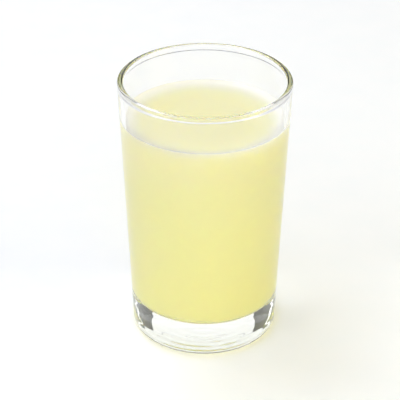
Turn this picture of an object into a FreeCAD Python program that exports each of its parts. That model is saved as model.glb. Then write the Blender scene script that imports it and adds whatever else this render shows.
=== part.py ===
"""Glass of lemonade: a plain straight-sided tumbler with a thick base, filled with cloudy lemonade.

Units are millimetres. +Z is up, and the origin is the middle of the ring that the glass stands on.
Both solids are turned about Z from outlines drawn in the XZ plane.
"""

import FreeCAD, Part

import math
import os

# The tumbler
HEIGHT = 115.0
RIM_DIAMETER = 70.8
RIM_BEAD = 2.5
BEAD_STRAIGHT = 0.6
BEAD_FILLET = 1.6
BASE_DIAMETER = 61.7
RIM_WALL = 1.9
FLOOR_WALL = 2.8
BASE_THICKNESS = 15.0
FLOOR_CORNER_RADIUS = 4.0
BASE_EDGE_RADIUS = 3.0
FOOT_WIDTH = 2.4
UNDERSIDE_HOLLOW = 0.6

# The lemonade
HEADSPACE = 18.4
MENISCUS_RISE = 2.2
MENISCUS_DECAY = 2.7
MENISCUS_WIDTH = 11.0
MENISCUS_STEPS = 8

AXIS_START = FreeCAD.Vector(0, 0, 0)
AXIS_DIRECTION = FreeCAD.Vector(0, 0, 1)


def point(radius, height):
    """A point of an outline: its distance from the axis, and its height above the table."""
    return FreeCAD.Vector(radius, 0, height)


def bead_centre():
    """The centre of the rounding at the rim, which the crest and the widest point of the rim lie on."""
    return point((RIM_DIAMETER - RIM_BEAD) / 2, HEIGHT - RIM_BEAD / 2)


def taper():
    """The angle by which the outside leans out: it runs straight from the base and just touches the bead."""
    reach = bead_centre() - point(BASE_DIAMETER / 2, 0)
    return math.atan2(reach.x, reach.z) + math.asin(RIM_BEAD / 2 / reach.Length)


def outer_radius(height):
    """The tumbler's outside, a straight taper."""
    return BASE_DIAMETER / 2 + height * math.tan(taper())


def inner_radius(height):
    """The tumbler's inside, a straight taper from the cavity's floor to the rim."""
    share = (height - BASE_THICKNESS) / (HEIGHT - BASE_THICKNESS)
    return outer_radius(height) - FLOOR_WALL + (FLOOR_WALL - RIM_WALL) * share


def line(start, end):
    return Part.LineSegment(start, end).toShape()


def arc(start, middle, end):
    return Part.Arc(start, middle, end).toShape()


def rounded_corner(before, corner, after, radius):
    """The arc that rounds a corner between two straight runs, as its first, middle and last point."""
    back = (before - corner).normalize()
    ahead = (after - corner).normalize()
    half_angle = back.getAngle(ahead) / 2
    bisector = (back + ahead).normalize()
    reach = radius / math.tan(half_angle)
    first = corner + back * reach
    middle = corner + bisector * (radius / math.sin(half_angle) - radius)
    last = corner + ahead * reach
    return first, middle, last


def cavity_outline(top):
    """The cavity's floor, corner and wall, from the axis out and up to a height."""
    centre = point(0, BASE_THICKNESS)
    corner = point(inner_radius(BASE_THICKNESS), BASE_THICKNESS)
    wall_top = point(inner_radius(top), top)
    first, middle, last = rounded_corner(centre, corner, wall_top, FLOOR_CORNER_RADIUS)
    return [line(centre, first), arc(first, middle, last), line(last, wall_top)]


def underside_outline(foot_inside):
    """The shallow spherical hollow under the base, from the axis out to the foot ring."""
    sphere_radius = (foot_inside**2 + UNDERSIDE_HOLLOW**2) / (2 * UNDERSIDE_HOLLOW)
    half_way = foot_inside / 2
    drop = sphere_radius - math.sqrt(sphere_radius**2 - half_way**2)
    return arc(point(0, UNDERSIDE_HOLLOW), point(half_way, UNDERSIDE_HOLLOW - drop), point(foot_inside, 0))


def turned(edges):
    """The solid swept by a closed outline through a full turn about the axis."""
    outline = Part.Wire(Part.__sortEdges__(edges))
    return Part.Face(outline).revolve(AXIS_START, AXIS_DIRECTION, 360)


def bead_underside(centre):
    """The bead's lower rounding on the inside, and the fillet that takes it into the wall.

    Gives the edges from the bead to the wall, and the point they end on.
    """
    radius = RIM_BEAD / 2
    high = point(inner_radius(HEIGHT), HEIGHT)
    low = point(inner_radius(BASE_THICKNESS), BASE_THICKNESS)
    down = (low - high).normalize()
    away = FreeCAD.Vector(down.z, 0, -down.x)
    foot = high + down * (centre - high).dot(down)
    depth = (foot - centre).dot(away)
    drop = math.sqrt((radius + BEAD_FILLET) ** 2 - (depth + BEAD_FILLET) ** 2)
    neck = foot + down * drop
    fillet_centre = neck + away * BEAD_FILLET
    inward = FreeCAD.Vector(-math.cos(taper()), 0, math.sin(taper()))
    towards_fillet = (fillet_centre - centre).normalize()
    joint = centre + towards_fillet * radius
    bead_middle = centre + (inward + towards_fillet).normalize() * radius
    fillet_middle = fillet_centre - (away + towards_fillet).normalize() * BEAD_FILLET
    edges = [arc(centre + inward * radius, bead_middle, joint), arc(joint, fillet_middle, neck)]
    return edges, neck


def tumbler():
    """Straight tapered glass with a rim that swells inwards to a round bead, a thick base and a foot ring."""
    radius = RIM_BEAD / 2
    upper = bead_centre()
    up = FreeCAD.Vector(math.sin(taper()), 0, math.cos(taper()))
    outward = FreeCAD.Vector(math.cos(taper()), 0, -math.sin(taper()))
    lower = upper - up * BEAD_STRAIGHT
    wall_end = upper + outward * radius
    inside, neck = bead_underside(lower)

    base_corner = point(outer_radius(0), 0)
    edge = rounded_corner(AXIS_START, base_corner, wall_end, BASE_EDGE_RADIUS)
    foot_outside, edge_middle, wall_start = edge
    foot_inside = point(foot_outside.x - FOOT_WIDTH, 0)

    edges = [
        underside_outline(foot_inside.x),
        line(foot_inside, foot_outside),
        arc(foot_outside, edge_middle, wall_start),
        line(wall_start, wall_end),
        arc(wall_end, upper + up * radius, upper - outward * radius),
        line(upper - outward * radius, lower - outward * radius),
        *inside,
        *cavity_outline(neck.z),
        line(point(0, BASE_THICKNESS), point(0, UNDERSIDE_HOLLOW)),
    ]
    return turned(edges)


def meniscus(level):
    """The curve by which the surface climbs the wall: an exponential that has died away at its width."""
    contact_height = level + MENISCUS_RISE
    contact_radius = inner_radius(contact_height)
    remainder = math.exp(-MENISCUS_WIDTH / MENISCUS_DECAY)
    points = []
    for step in range(MENISCUS_STEPS + 1):
        # Closer together near the wall, where the curve is steepest
        distance = MENISCUS_WIDTH * (step / MENISCUS_STEPS) ** 2
        share = (math.exp(-distance / MENISCUS_DECAY) - remainder) / (1 - remainder)
        points.append(point(contact_radius - distance, level + MENISCUS_RISE * share))
    curve = Part.BSplineCurve()
    curve.interpolate(points)
    return curve.toShape(), points[-1]


def lemonade():
    """The drink: it fills the cavity against the wall, up to a level surface that curls up at the glass."""
    level = HEIGHT - HEADSPACE
    curl, flat_edge = meniscus(level)
    edges = [
        *cavity_outline(level + MENISCUS_RISE),
        curl,
        line(flat_edge, point(0, level)),
        line(point(0, level), point(0, BASE_THICKNESS)),
    ]
    return turned(edges)


os.makedirs("parts", exist_ok=True)
for node, make in (("glass", tumbler), ("lemonade", lemonade)):
    solid = make()
    print(node, "valid", solid.isValid(), "volume in cm3", round(solid.Volume / 1000, 2))
    solid.exportStep(f"parts/{node}.step")
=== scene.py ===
"""Glass of lemonade: the looks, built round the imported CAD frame.

Run as a script it makes the tumbler, the drink and the studio, in metres, in the frame's own place.
Both pieces are turned on one lathe, a Geometry Nodes tree that sweeps an outline round the axis.
"""

import math

import bpy
from mathutils import Euler, Matrix, Vector, noise


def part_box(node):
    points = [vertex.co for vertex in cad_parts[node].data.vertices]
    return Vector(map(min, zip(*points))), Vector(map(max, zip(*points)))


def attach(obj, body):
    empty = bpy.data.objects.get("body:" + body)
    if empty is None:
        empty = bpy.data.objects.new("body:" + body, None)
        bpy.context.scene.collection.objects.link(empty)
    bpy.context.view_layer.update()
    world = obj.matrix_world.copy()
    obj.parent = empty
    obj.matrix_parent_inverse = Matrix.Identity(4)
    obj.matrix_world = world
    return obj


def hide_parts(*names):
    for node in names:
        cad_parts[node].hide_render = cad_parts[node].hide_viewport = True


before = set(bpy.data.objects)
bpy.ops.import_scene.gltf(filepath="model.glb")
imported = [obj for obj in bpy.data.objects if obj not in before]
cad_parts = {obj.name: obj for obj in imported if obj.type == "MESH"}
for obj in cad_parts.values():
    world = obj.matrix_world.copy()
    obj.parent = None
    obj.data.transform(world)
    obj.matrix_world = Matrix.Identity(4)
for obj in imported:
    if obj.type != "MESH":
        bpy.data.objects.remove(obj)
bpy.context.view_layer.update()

bl_info = {
    "name": "Glass of lemonade",
    "version": (1, 0, 0),
    "blender": (4, 5, 0),
    "location": "3D View > Sidebar > Lemonade",
    "description": "Makes a tumbler of cloudy lemonade and the studio it is shown in",
    "category": "Add Mesh",
}

GLASS_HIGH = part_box("glass")[1]
DRINK_LOW, DRINK_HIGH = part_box("lemonade")
BODY = "root"
MM = 0.001

# The unevenness that the mould leaves low in the glass: its height, the level that it stays under and the
# distance from one swell to the next. Under the last height it dies away, so that the foot stands flat
UNEVENNESS = 0.05 * MM
UNEVEN_BELOW = 1.0 * MM
UNEVEN_SPACING = 8 * MM
FOOT_CLEARANCE = 0.05 * MM

# The lathe: the radius of the circle that outlines are swept round, the segments in it, and how near two
# points have to be to be merged
SPINDLE = 0.1
SEGMENTS = 256
MERGE_DISTANCE = 0.001 * MM

# The number of steps in each stretch of an outline
CAVITY_FLOOR_STEPS = 12
CAVITY_WALL_STEPS = 24
CORNER_STEPS = 20
FOOT_STEPS = 2
OUTSIDE_STEPS = 28
CREST_STEPS = 18
BEAD_STEPS = 14
FILLET_STEPS = 10
UNDERSIDE_STEPS = 96
SURFACE_STEPS = 40

# The short first and last steps of a straight run
HOLD = 0.15 * MM

# A face belongs to the drink's free surface if it is no further under it than this and faces up this much
SURFACE_SLACK = 0.1 * MM
SURFACE_FACING = 0.3

WHITE = (1.0, 1.0, 1.0, 1.0)

# Indices of refraction. The last is about the drink's over the glass's, which light inside the glass meets
GLASS_IOR = 1.52
DRINK_IOR = 1.34
DRINK_IN_GLASS_IOR = 0.885

# The glass: the density of its tint, and the width and height of its faint swells
GLASS_DENSITY = 7.0
SWELL_WIDTH = 8 * MM
SWELL_HEIGHT = 0.03 * MM

# The drink: how far light strays in it and the shares of that for red, green and blue, the roughness of its
# wet surface, the width of its clouds, and the share of its height by which they shift its colour
STRAY = 12 * MM
STRAY_SHARES = (1.0, 0.9, 0.5)
WET_ROUGHNESS = 0.02
CLOUD_WIDTH = 15.4 * MM
CLOUD_SHIFT = 0.3

# The surface: the width of the ring round it that is painted paler, painted light for light shining through
# the drink's thin edge, and the share of the way across where it starts to clear
PAINTED_LIGHT_RING_WIDTH = 12 * MM
CLEARS_FROM = 0.55

# The room: half the floor's width, the width of its mottle and its own faint light, the light of the walls,
# and the height that the softboxes aim at
FLOOR_HALF = 4.0
MOTTLE_WIDTH = 16.7 * MM
FLOOR_ROUGHNESS = 0.9
FLOOR_GLOW = 0.1
ROOM_BRIGHTNESS = 0.13
AIM_HEIGHT = 50 * MM

# The camera: its lens and sensor in millimetres, its angles in degrees and the rest in metres
LENS = 130.5
SENSOR_WIDTH = 36
NEAR_CLIP = 0.01
CAMERA_ELEVATION = 30.5
CAMERA_ROLL = 0.17762
CAMERA_DISTANCE = 0.6096
CAMERA_TARGET = Vector((-1.9 * MM, 0, 58.5 * MM))

# Each softbox: its name, its bearing in degrees from straight behind the glass (left is negative), its
# height in degrees above the table, its distance, width and height in metres, its brightness and its colour
SOFTBOXES = (
    ("back_scrim", 1, 41, 1.5, 1.8, 1.0, 0.95, "#FFFFFF"),
    ("key", -58, 61, 1.5, 0.95, 0.75, 3.5, "#FFFFFF"),
    ("front_fill", 180, 25, 1.8, 2.6, 1.6, 1.78, "#FFFEFA"),
    ("left_fill", -120, 25, 1.5, 0.9, 1.2, 2.5, "#FFFFFF"),
    ("right_fill", 115, 25, 1.5, 0.9, 1.2, 2.8, "#FFF3AC"),
    ("left_strip", -66, 36, 1.5, 0.14, 0.5, 1.8, "#FFFFFF"),
    ("right_strip", 66, 36, 1.5, 0.1, 0.5, 1.5, "#FFFFFF"),
)


# Sizes and colours that a user may change


class LemonadeGlassSizes(bpy.types.PropertyGroup):
    """The tumbler."""

    height: bpy.props.FloatProperty(
        name="Height", description="From the table to the rim", default=GLASS_HIGH.z, unit="LENGTH")
    rim_radius: bpy.props.FloatProperty(
        name="Rim radius", description="Outside the bead at the rim", default=GLASS_HIGH.x, unit="LENGTH")
    base_radius: bpy.props.FloatProperty(
        name="Base radius", description="The straight taper carried down to the table",
        default=30.85 * MM, unit="LENGTH")
    base_thickness: bpy.props.FloatProperty(
        name="Base thickness", description="Glass under the drink", default=DRINK_LOW.z, unit="LENGTH")
    rim_bead: bpy.props.FloatProperty(
        name="Rim bead", description="Thickness of the round bead at the rim",
        default=2.5 * MM, unit="LENGTH")
    bead_straight: bpy.props.FloatProperty(
        name="Bead straight", description="Height of the bead between its roundings",
        default=0.6 * MM, unit="LENGTH")
    bead_fillet: bpy.props.FloatProperty(
        name="Bead fillet", description="Radius where the bead meets the wall",
        default=1.6 * MM, unit="LENGTH")
    rim_wall: bpy.props.FloatProperty(
        name="Rim wall", description="Thickness under the bead", default=1.9 * MM, unit="LENGTH")
    floor_wall: bpy.props.FloatProperty(
        name="Floor wall", description="Thickness beside the cavity's floor",
        default=2.8 * MM, unit="LENGTH")
    floor_corner: bpy.props.FloatProperty(
        name="Floor corner", description="Radius inside, where floor meets wall",
        default=4 * MM, unit="LENGTH")
    base_edge: bpy.props.FloatProperty(
        name="Base edge", description="Radius outside, where wall meets foot",
        default=3 * MM, unit="LENGTH")
    foot_width: bpy.props.FloatProperty(
        name="Foot width", description="The flat ring that it stands on", default=2.4 * MM, unit="LENGTH")
    hollow: bpy.props.FloatProperty(
        name="Underside hollow", description="Rise of the middle of the underside",
        default=0.6 * MM, unit="LENGTH")
    ripple: bpy.props.FloatProperty(
        name="Ripple", description="Height of the rings that the mould leaves in the underside",
        default=0.045 * MM, unit="LENGTH")
    ripple_spacing: bpy.props.FloatProperty(
        name="Ripple spacing", description="From one ring to the next", default=5.5 * MM, unit="LENGTH")


class LemonadeDrinkSizes(bpy.types.PropertyGroup):
    """The drink."""

    contact_height: bpy.props.FloatProperty(
        name="Contact height", description="Where the surface meets the wall",
        default=DRINK_HIGH.z, unit="LENGTH")
    rise: bpy.props.FloatProperty(
        name="Meniscus rise", description="How far the surface climbs the wall",
        default=2.2 * MM, unit="LENGTH")
    decay: bpy.props.FloatProperty(
        name="Meniscus decay", description="Distance in which the climb falls to about a third",
        default=2.7 * MM, unit="LENGTH")
    overlap: bpy.props.FloatProperty(
        name="Overlap", description="How far the drink reaches into the wall, so that no air gap shows",
        default=0.15 * MM, unit="LENGTH")


class LemonadeColours(bpy.types.PropertyGroup):
    """Colours as they look, in sRGB hex."""

    drink: bpy.props.StringProperty(
        name="Drink", description="A little under halfway up", default="#FCF5BC")
    drink_low: bpy.props.StringProperty(
        name="Low in the drink", description="At the floor", default="#FCF4B7")
    drink_high: bpy.props.StringProperty(
        name="High in the drink", description="Three quarters of the way up", default="#FBF5C3")
    drink_top: bpy.props.StringProperty(
        name="Top of the drink", description="At the surface", default="#F9F2CC")
    surface: bpy.props.StringProperty(
        name="Surface", description="Middle of the surface", default="#EBE9BD")
    surface_outer: bpy.props.StringProperty(
        name="Outer surface", description="7 mm from the wall", default="#EAE9C3")
    surface_edge: bpy.props.StringProperty(
        name="Surface edge", description="5 mm from the wall", default="#E9E9D2")
    surface_rim: bpy.props.StringProperty(
        name="Surface rim", description="At the wall", default="#F2F2EC")
    glass: bpy.props.StringProperty(
        name="Glass", description="Tint of thick glass", default="#E6EBE2")
    floor: bpy.props.StringProperty(
        name="Floor", description="Studio floor", default="#F4F7FF")
    floor_shade: bpy.props.StringProperty(
        name="Floor mottle", description="The darker parts of the floor", default="#F1F4FD")


# Nodes, for the lathe and the materials


def add_node(tree, kind, inputs=None, **settings):
    """A node with its settings, and each input either linked to a socket or given a value."""
    node = tree.nodes.new(kind)
    for name, value in settings.items():
        setattr(node, name, value)
    for name, value in (inputs or {}).items():
        if isinstance(value, bpy.types.NodeSocket):
            tree.links.new(value, node.inputs[name])
        else:
            node.inputs[name].default_value = value
    return node


# Outlines, in the XZ plane


def point(radius, height):
    """A point of an outline: its distance from the axis, and its height above the table."""
    return Vector((radius, 0, height))


def run(start, end, steps):
    """Points along a straight run. The first and last steps are short, so that shading stays true
    right up to the curve that follows."""
    hold = HOLD / (end - start).length
    shares = [0, hold]
    shares += [hold + (1 - 2 * hold) * step / steps for step in range(1, steps + 1)]
    shares += [1]
    return [start.lerp(end, share) for share in shares]


def arc(centre, start, end, steps):
    """Points along an arc about a centre, the short way from one direction to another."""
    turn = start.xz.angle_signed(end.xz)
    first = math.atan2(start.z, start.x)
    angles = [first - turn * step / steps for step in range(steps + 1)]
    return [centre + point(math.cos(angle), math.sin(angle)) * start.length for angle in angles]


def corner_arc(before, corner, after, radius):
    """Points along the arc that rounds a corner between two straight runs."""
    back = (before - corner).normalized()
    ahead = (after - corner).normalized()
    half_angle = back.angle(ahead) / 2
    centre = corner + (back + ahead).normalized() * radius / math.sin(half_angle)
    first = corner + back * radius / math.tan(half_angle) - centre
    last = corner + ahead * radius / math.tan(half_angle) - centre
    shares = [step / CORNER_STEPS for step in range(CORNER_STEPS + 1)]
    return [centre + first.slerp(last, share).normalized() * radius for share in shares]


def bead_centre(glass):
    """The centre of the rounding at the rim, which the crest and the widest point of the rim lie on."""
    return point(glass.rim_radius - glass.rim_bead / 2, glass.height - glass.rim_bead / 2)


def taper(glass):
    """The angle by which the outside leans out: it runs straight from the base and just touches the bead."""
    reach = bead_centre(glass) - point(glass.base_radius, 0)
    return math.atan2(reach.x, reach.z) + math.asin(glass.rim_bead / 2 / reach.length)


def outer_radius(glass, height):
    """The outside of the tumbler, a straight taper."""
    return glass.base_radius + height * math.tan(taper(glass))


def inner_radius(glass, height):
    """The inside of the tumbler, a straight taper."""
    share = (height - glass.base_thickness) / (glass.height - glass.base_thickness)
    return outer_radius(glass, height) - glass.floor_wall + (glass.floor_wall - glass.rim_wall) * share


def cavity_points(glass, top, reach=0.0):
    """The cavity from the middle of its floor, round its corner and up its wall to a height.
    With a reach, the outline lies that far inside the glass."""
    floor = glass.base_thickness - reach
    centre = point(0, floor)
    corner = point(inner_radius(glass, floor) + reach, floor)
    wall_top = point(inner_radius(glass, top) + reach, top)
    rounding = corner_arc(centre, corner, wall_top, glass.floor_corner + reach)
    bottom = run(centre, rounding[0], CAVITY_FLOOR_STEPS)
    return bottom[:-1] + rounding[:-1] + run(rounding[-1], wall_top, CAVITY_WALL_STEPS)


def bead_underside(glass, centre):
    """The bead's lower rounding on the inside, and the fillet that takes it into the wall."""
    radius = glass.rim_bead / 2
    fillet = glass.bead_fillet
    high = point(inner_radius(glass, glass.height), glass.height)
    low = point(inner_radius(glass, glass.base_thickness), glass.base_thickness)
    down = (low - high).normalized()
    away = point(down.z, -down.x)
    foot = high + down * (centre - high).dot(down)
    depth = (foot - centre).dot(away)
    neck = foot + down * math.sqrt((radius + fillet) ** 2 - (depth + fillet) ** 2)
    fillet_centre = neck + away * fillet
    towards_fillet = (fillet_centre - centre).normalized()
    inward = point(-math.cos(taper(glass)), math.sin(taper(glass)))
    rounding = arc(centre, inward * radius, towards_fillet * radius, BEAD_STEPS)
    return rounding[:-1] + arc(fillet_centre, -towards_fillet * fillet, -away * fillet, FILLET_STEPS)


def rim_points(glass):
    """The round bead at the rim: from the wall's outside, over the crest and down to its inside."""
    radius = glass.rim_bead / 2
    upper = bead_centre(glass)
    up = point(math.sin(taper(glass)), math.cos(taper(glass)))
    outward = point(math.cos(taper(glass)), -math.sin(taper(glass)))
    outer_half = arc(upper, outward * radius, up * radius, CREST_STEPS)
    inner_half = arc(upper, up * radius, outward * -radius, CREST_STEPS)
    return outer_half[:-1] + inner_half + bead_underside(glass, upper - up * glass.bead_straight)


def underside_points(glass, foot_inside):
    """The shallow spherical hollow under the base with the mould's rings in it, from the axis out."""
    sphere = (foot_inside**2 + glass.hollow**2) / (2 * glass.hollow)
    points = []
    for step in range(UNDERSIDE_STEPS + 1):
        radius = foot_inside * step / UNDERSIDE_STEPS
        ring_angle = 2 * math.pi * (foot_inside - radius) / glass.ripple_spacing
        ring = glass.ripple * (1 - math.cos(ring_angle)) / 2
        points.append(point(radius, glass.hollow - sphere + math.sqrt(sphere**2 - radius**2) + ring))
    return points


def tumbler_outline(glass):
    """The whole outline of the glass: up the outside from under the base, over the rim and down inside."""
    rim = rim_points(glass)
    edge = corner_arc(point(0, 0), point(glass.base_radius, 0), rim[0], glass.base_edge)
    foot_inside = edge[0].x - glass.foot_width
    outline = underside_points(glass, foot_inside)[:-1]
    outline += run(point(foot_inside, 0), edge[0], FOOT_STEPS)[:-1] + edge[:-1]
    outline += run(edge[-1], rim[0], OUTSIDE_STEPS)[:-1] + rim[:-1]
    return outline + list(reversed(cavity_points(glass, rim[-1].z)))


def drink_outline(glass, drink):
    """The drink's outline: along the floor, up the wall, and back along its surface to the axis."""
    wall = cavity_points(glass, drink.contact_height, drink.overlap)
    level = drink.contact_height - drink.rise
    contact = inner_radius(glass, drink.contact_height)
    surface = []
    for step in range(SURFACE_STEPS + 1):
        # Closer together near the wall, where the curve is steepest
        distance = contact * (step / SURFACE_STEPS) ** 2
        surface.append(point(contact - distance, level + drink.rise * math.exp(-distance / drink.decay)))
    return wall + surface


# The lathe


def lathe_tree():
    """A node tree that sweeps an outline in the XZ plane round the Z axis."""
    tree = bpy.data.node_groups.new("Lathe", "GeometryNodeTree")
    kinds = {"Outline": "Geometry", "Segments": "Int", "Spindle": "Float", "Material": "Material"}
    for name, kind in kinds.items():
        tree.interface.new_socket(name, in_out="INPUT", socket_type="NodeSocket" + kind)
    tree.interface.new_socket("Geometry", in_out="OUTPUT", socket_type="NodeSocketGeometry")
    given = add_node(tree, "NodeGroupInput")
    curve = add_node(tree, "GeometryNodeMeshToCurve", {"Mesh": given.outputs["Outline"]})
    inward = add_node(tree, "ShaderNodeMath", {0: given.outputs["Spindle"], 1: -1.0}, operation="MULTIPLY")
    offset = add_node(tree, "ShaderNodeCombineXYZ", {"X": inward.outputs[0]})
    # A profile's X is measured out from the circle it is swept round, and its Y down
    profile = add_node(tree, "GeometryNodeTransform", {
        "Geometry": curve.outputs[0],
        "Translation": offset.outputs[0],
        "Rotation": (math.pi / 2, 0, 0),
    })
    circle = add_node(tree, "GeometryNodeCurvePrimitiveCircle", {
        "Resolution": given.outputs["Segments"],
        "Radius": given.outputs["Spindle"],
    })
    swept = add_node(tree, "GeometryNodeCurveToMesh", {
        "Curve": circle.outputs[0],
        "Profile Curve": profile.outputs[0],
    })
    closed = add_node(tree, "GeometryNodeMergeByDistance", {
        "Geometry": swept.outputs[0],
        "Distance": MERGE_DISTANCE,
    })
    outward = add_node(tree, "GeometryNodeFlipFaces", {"Mesh": closed.outputs[0]})
    smooth = add_node(tree, "GeometryNodeSetShadeSmooth", {"Geometry": outward.outputs[0]})
    real = add_node(tree, "GeometryNodeRealizeInstances", {"Geometry": smooth.outputs[0]})
    painted = add_node(tree, "GeometryNodeSetMaterial", {
        "Geometry": real.outputs[0],
        "Material": given.outputs["Material"],
    })
    add_node(tree, "NodeGroupOutput", {"Geometry": painted.outputs[0]})
    return tree


def turned(name, outline, material):
    """The plain mesh object that the lathe makes of an outline."""
    mesh = bpy.data.meshes.new(name + "_outline")
    mesh.from_pydata(outline, [(i, i + 1) for i in range(len(outline) - 1)], [])
    blank = bpy.data.objects.new(name + "_blank", mesh)
    bpy.context.scene.collection.objects.link(blank)
    tree = bpy.data.node_groups.get("Lathe") or lathe_tree()
    lathe = blank.modifiers.new("Lathe", "NODES")
    lathe.node_group = tree
    values = {"Segments": SEGMENTS, "Spindle": SPINDLE, "Material": material}
    for socket in tree.interface.items_tree:
        if socket.name in values:
            lathe[socket.identifier] = values[socket.name]
    graph = bpy.context.evaluated_depsgraph_get()
    plain = bpy.data.meshes.new_from_object(blank.evaluated_get(graph))
    plain.name = name
    bpy.data.objects.remove(blank)
    piece = bpy.data.objects.new(name, plain)
    bpy.context.scene.collection.objects.link(piece)
    return piece


def unevened(piece):
    """Moves the lowest points of a mesh up or down a little, as hot glass settles in a mould."""
    for vertex in piece.data.vertices:
        if vertex.co.z < UNEVEN_BELOW:
            share = min(1.0, vertex.co.z / FOOT_CLEARANCE)
            vertex.co.z += UNEVENNESS * noise.noise(vertex.co / UNEVEN_SPACING) * share


# Materials


def linear(colour):
    """An sRGB hex colour as linear RGBA."""
    parts = [int(colour[i : i + 2], 16) / 255 for i in (1, 3, 5)]
    return [p / 12.92 if p <= 0.04045 else ((p + 0.055) / 1.055) ** 2.4 for p in parts] + [1.0]


def new_material(name):
    """An empty node material and its output node."""
    material = bpy.data.materials.new(name)
    material.use_nodes = True
    material.node_tree.nodes.clear()
    return material, add_node(material.node_tree, "ShaderNodeOutputMaterial")


def shaded(tree, factor, stops):
    """A colour that changes along a factor from 0 to 1, through stops of a position and a hex colour."""
    ramp = add_node(tree, "ShaderNodeValToRGB", {"Fac": factor})
    elements = ramp.color_ramp.elements
    while len(elements) < len(stops):
        elements.new(0.5)
    for element, (position, colour) in zip(elements, stops):
        element.position = position
        element.color = linear(colour)
    return ramp.outputs["Color"]


def soda_lime_glass(colours):
    """Soda-lime glass, pressed in a mould and fire-polished.

    To the eye it is colourless when thin and faintly green in depth, with a hard gloss, and it shows the
    room bent and bright or dark where it curves away.
    """
    material, output = new_material("soda_lime_glass")
    tree = material.node_tree
    place = add_node(tree, "ShaderNodeTexCoord").outputs["Object"]
    # Moulded glass isn't quite even, which makes what is seen through the thick base waver a little
    swells = add_node(tree, "ShaderNodeTexNoise", {
        "Vector": place,
        "Scale": 1 / SWELL_WIDTH,
        "Detail": 1.0,
    })
    uneven = add_node(tree, "ShaderNodeBump", {
        "Strength": 1.0,
        "Distance": SWELL_HEIGHT,
        "Height": swells.outputs[0],
    })
    surface = add_node(tree, "ShaderNodeBsdfPrincipled", {
        "Base Color": WHITE,
        "Normal": uneven.outputs[0],
        "Roughness": 0.0,
        "IOR": GLASS_IOR,
        "Transmission Weight": 1.0,
    })
    depth = add_node(tree, "ShaderNodeVolumeAbsorption", {
        "Color": linear(colours.glass),
        "Density": GLASS_DENSITY,
    })
    tree.links.new(surface.outputs[0], output.inputs["Surface"])
    tree.links.new(depth.outputs[0], output.inputs["Volume"])
    return material


def pulp(colour, tree, **inputs):
    """A body of liquid clouded with fine pulp, which light goes some millimetres into and comes out of."""
    return add_node(tree, "ShaderNodeBsdfPrincipled", {
        "Base Color": colour,
        "Roughness": WET_ROUGHNESS,
        "IOR": DRINK_IOR,
        "Subsurface Weight": 1.0,
        "Subsurface Radius": STRAY_SHARES,
        "Subsurface Scale": STRAY,
        **inputs,
    })


def lemonade_behind_glass(colours, low, high):
    """Cloudy lemonade, strained and poured, where it lies against the wall.

    To the eye it is a soft, milky yellow with faint clouds, yellower low down and paler high up, and that
    change up its height is painted shade for the light that falls from above. Light that meets it at a
    glancing angle inside the glass is mirrored back into the glass.
    """
    material, output = new_material("cloudy_lemonade_behind_glass")
    tree = material.node_tree
    place = add_node(tree, "ShaderNodeTexCoord").outputs["Object"]
    height = add_node(tree, "ShaderNodeSeparateXYZ", {0: place}).outputs["Z"]
    painted_shade_height = add_node(tree, "ShaderNodeMapRange", {"Value": height, "From Min": low, "From Max": high})
    clouds = add_node(tree, "ShaderNodeTexNoise", {
        "Vector": place,
        "Scale": 1 / CLOUD_WIDTH,
        "Detail": 3.0,
    })
    drift = add_node(tree, "ShaderNodeMath", {
        0: clouds.outputs[0],
        1: CLOUD_SHIFT,
        2: painted_shade_height.outputs[0],
    }, operation="MULTIPLY_ADD")
    # The clouds' middle value is a half, so half their shift is taken off again
    level = add_node(tree, "ShaderNodeMath", {0: drift.outputs[0], 1: CLOUD_SHIFT / 2}, operation="SUBTRACT")
    # Yellower low down and paler high up: painted shade for the light that falls from above and less from
    # below; the clouds are the drink's own uneven tone
    colour = shaded(tree, level.outputs[0], (
        (0.04, colours.drink_low),
        (0.45, colours.drink),
        (0.75, colours.drink_high),
        (1.0, colours.drink_top),
    ))
    # All of its gloss comes from the mirror
    body = pulp(colour, tree, **{"Specular IOR Level": 0.0})
    mirror = add_node(tree, "ShaderNodeBsdfGlossy", {"Color": WHITE, "Roughness": WET_ROUGHNESS})
    share = add_node(tree, "ShaderNodeFresnel", {"IOR": DRINK_IN_GLASS_IOR})
    both = add_node(tree, "ShaderNodeMixShader", {
        0: share.outputs[0],
        1: body.outputs[0],
        2: mirror.outputs[0],
    })
    tree.links.new(both.outputs[0], output.inputs["Surface"])
    return material


def lemonade_surface(colours, contact):
    """The free surface of cloudy lemonade, still and wet.

    To the eye it is a milky yellow under a thin gloss. Round its rim, where the drink thins out against the
    wall, it is painted paler, painted light for the light from behind that shines through the thin edge.
    """
    material, output = new_material("cloudy_lemonade_surface")
    tree = material.node_tree
    place = add_node(tree, "ShaderNodeTexCoord").outputs["Object"]
    flat = add_node(tree, "ShaderNodeVectorMath", {0: place, 1: (1, 1, 0)}, operation="MULTIPLY")
    radius = add_node(tree, "ShaderNodeVectorMath", {0: flat.outputs[0]}, operation="LENGTH")
    near_wall = add_node(tree, "ShaderNodeMapRange", {
        "Value": radius.outputs["Value"],
        "From Min": contact - PAINTED_LIGHT_RING_WIDTH,
        "From Max": contact,
    }).outputs[0]
    # Light doesn't get lost in the thin edge of the drink; with the pale colours below this paints the light
    # shining through that edge
    clouded = add_node(tree, "ShaderNodeMapRange", {
        "Value": near_wall,
        "From Min": CLEARS_FROM,
        "From Max": 1.0,
        "To Min": 1.0,
        "To Max": 0.0,
    })
    # Paler towards the wall: painted light for the light that shines through the drink's thin edge
    colour = shaded(tree, near_wall, (
        (0.0, colours.surface),
        (0.4, colours.surface_outer),
        (0.62, colours.surface_edge),
        (0.88, colours.surface_rim),
    ))
    body = pulp(colour, tree, **{"Subsurface Weight": clouded.outputs[0]})
    tree.links.new(body.outputs[0], output.inputs["Surface"])
    return material


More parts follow.
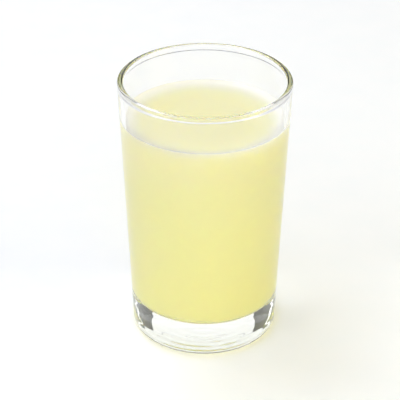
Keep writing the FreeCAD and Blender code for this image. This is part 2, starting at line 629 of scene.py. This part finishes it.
def matt_white_board(colours):
    """Matt white board, rolled and uncoated.

    To the eye it is a near white with no gloss, very faintly mottled by its fibres.
    """
    material, output = new_material("matt_white_board")
    tree = material.node_tree
    place = add_node(tree, "ShaderNodeTexCoord").outputs["Object"]
    # Drawn coarser than the fibres of real board, which would be too fine to show
    mottle = add_node(tree, "ShaderNodeTexNoise", {
        "Vector": place,
        "Scale": 1 / MOTTLE_WIDTH,
        "Detail": 4.0,
    })
    surface = add_node(tree, "ShaderNodeBsdfPrincipled", {
        "Base Color": shaded(tree, mottle.outputs[0], ((0.3, colours.floor_shade), (0.7, colours.floor))),
        "Roughness": FLOOR_ROUGHNESS,
        "Specular IOR Level": 0.0,
        "Emission Color": WHITE,
        "Emission Strength": FLOOR_GLOW,
    })
    tree.links.new(surface.outputs[0], output.inputs["Surface"])
    return material


# The studio


def studio_floor(colours):
    """A wide board at the height of the table."""
    mesh = bpy.data.meshes.new("floor")
    corners = [(x * FLOOR_HALF, y * FLOOR_HALF, 0) for x, y in ((-1, -1), (1, -1), (1, 1), (-1, 1))]
    mesh.from_pydata(corners, [], [(0, 1, 2, 3)])
    mesh.materials.append(matt_white_board(colours))
    floor = bpy.data.objects.new("floor", mesh)
    bpy.context.scene.collection.objects.link(floor)
    return floor


def studio_world():
    """An evenly lit white room."""
    world = bpy.data.worlds.new("studio")
    world.use_nodes = True
    background = world.node_tree.nodes["Background"]
    background.inputs["Color"].default_value = WHITE
    background.inputs["Strength"].default_value = ROOM_BRIGHTNESS
    return world


def softbox(name, bearing, elevation, distance, width, height, brightness, colour):
    """A rectangular diffuser that faces the glass. Its brightness is that of its face, whatever its size."""
    lamp = bpy.data.lights.new(name, "AREA")
    lamp.shape = "RECTANGLE"
    lamp.size = width
    lamp.size_y = height
    lamp.energy = brightness * math.pi * width * height
    lamp.color = linear(colour)[:3]
    item = bpy.data.objects.new(name, lamp)
    turn = math.radians(bearing)
    lift = math.radians(elevation)
    outward = Vector((math.sin(turn) * math.cos(lift), math.cos(turn) * math.cos(lift), math.sin(lift)))
    item.location = point(0, AIM_HEIGHT) + outward * distance
    item.rotation_euler = outward.to_track_quat("Z", "Y").to_euler()
    bpy.context.scene.collection.objects.link(item)


def studio_camera():
    """A long lens that looks down on the glass from in front."""
    camera = bpy.data.objects.new("camera", bpy.data.cameras.new("camera"))
    camera.data.lens = LENS
    camera.data.sensor_width = SENSOR_WIDTH
    camera.data.clip_start = NEAR_CLIP
    elevation = math.radians(CAMERA_ELEVATION)
    away = Vector((0, -math.cos(elevation), math.sin(elevation)))
    camera.location = CAMERA_TARGET + away * CAMERA_DISTANCE
    tilt = Euler((math.radians(90) - elevation, 0, 0)).to_matrix()
    roll = Matrix.Rotation(math.radians(CAMERA_ROLL), 3, "Z")
    camera.rotation_euler = (tilt @ roll).to_euler()
    bpy.context.scene.collection.objects.link(camera)
    return camera


def let_light_through(cycles):
    """Light goes to and fro between the drink and its wall many times before it leaves the glass, so it is
    followed further than usual and isn't blurred on the way."""
    cycles.blur_glossy = 0.0
    cycles.max_bounces = 32
    cycles.transmission_bounces = 32
    cycles.glossy_bounces = 16
    cycles.diffuse_bounces = 12


# Operators


class LEMONADE_OT_glass(bpy.types.Operator):
    """Make the tumbler"""

    bl_idname = "lemonade.glass"
    bl_label = "Tumbler"

    def execute(self, context):
        scene = context.scene
        outline = tumbler_outline(scene.lemonade_glass)
        piece = turned("tumbler", outline, soda_lime_glass(scene.lemonade_colours))
        unevened(piece)
        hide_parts("glass")
        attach(piece, BODY)
        return {"FINISHED"}


class LEMONADE_OT_drink(bpy.types.Operator):
    """Make the drink"""

    bl_idname = "lemonade.drink"
    bl_label = "Drink"

    def execute(self, context):
        scene = context.scene
        glass = scene.lemonade_glass
        drink = scene.lemonade_drink
        wall_side = lemonade_behind_glass(scene.lemonade_colours, DRINK_LOW.z, drink.contact_height)
        piece = turned("drink", drink_outline(glass, drink), wall_side)
        contact = inner_radius(glass, drink.contact_height)
        piece.data.materials.append(lemonade_surface(scene.lemonade_colours, contact))
        level = drink.contact_height - drink.rise
        for face in piece.data.polygons:
            if face.center.z > level - SURFACE_SLACK and face.normal.z > SURFACE_FACING:
                # The second material, the surface's
                face.material_index = 1
        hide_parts("lemonade")
        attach(piece, BODY)
        return {"FINISHED"}


class LEMONADE_OT_stage(bpy.types.Operator):
    """Make the floor, the lights and the camera"""

    bl_idname = "lemonade.stage"
    bl_label = "Studio"

    def execute(self, context):
        scene = context.scene
        floor = studio_floor(scene.lemonade_colours)
        scene.world = studio_world()
        for settings in SOFTBOXES:
            softbox(*settings)
        scene.camera = studio_camera()
        scene.view_settings.view_transform = "Standard"
        let_light_through(scene.cycles)
        return {"FINISHED"}


class LEMONADE_PT_panel(bpy.types.Panel):
    """Sidebar panel"""

    bl_label = "Glass of lemonade"
    bl_idname = "LEMONADE_PT_panel"
    bl_space_type = "VIEW_3D"
    bl_region_type = "UI"
    bl_category = "Lemonade"

    def draw(self, context):
        for operator in OPERATORS:
            self.layout.operator(operator.bl_idname)


OPERATORS = (LEMONADE_OT_stage, LEMONADE_OT_glass, LEMONADE_OT_drink)
GROUPS = (LemonadeGlassSizes, LemonadeDrinkSizes, LemonadeColours)


def register():
    """Registers the classes, and gives every scene the sizes and colours."""
    for item in GROUPS + OPERATORS + (LEMONADE_PT_panel,):
        bpy.utils.register_class(item)
    bpy.types.Scene.lemonade_glass = bpy.props.PointerProperty(type=LemonadeGlassSizes)
    bpy.types.Scene.lemonade_drink = bpy.props.PointerProperty(type=LemonadeDrinkSizes)
    bpy.types.Scene.lemonade_colours = bpy.props.PointerProperty(type=LemonadeColours)


def unregister():
    """Takes away what register has added."""
    del bpy.types.Scene.lemonade_colours
    del bpy.types.Scene.lemonade_drink
    del bpy.types.Scene.lemonade_glass
    for item in reversed(GROUPS + OPERATORS + (LEMONADE_PT_panel,)):
        bpy.utils.unregister_class(item)


def main():
    """Makes the studio and both pieces."""
    register()
    bpy.ops.lemonade.stage()
    bpy.ops.lemonade.glass()
    bpy.ops.lemonade.drink()


if __name__ == "__main__":
    main()
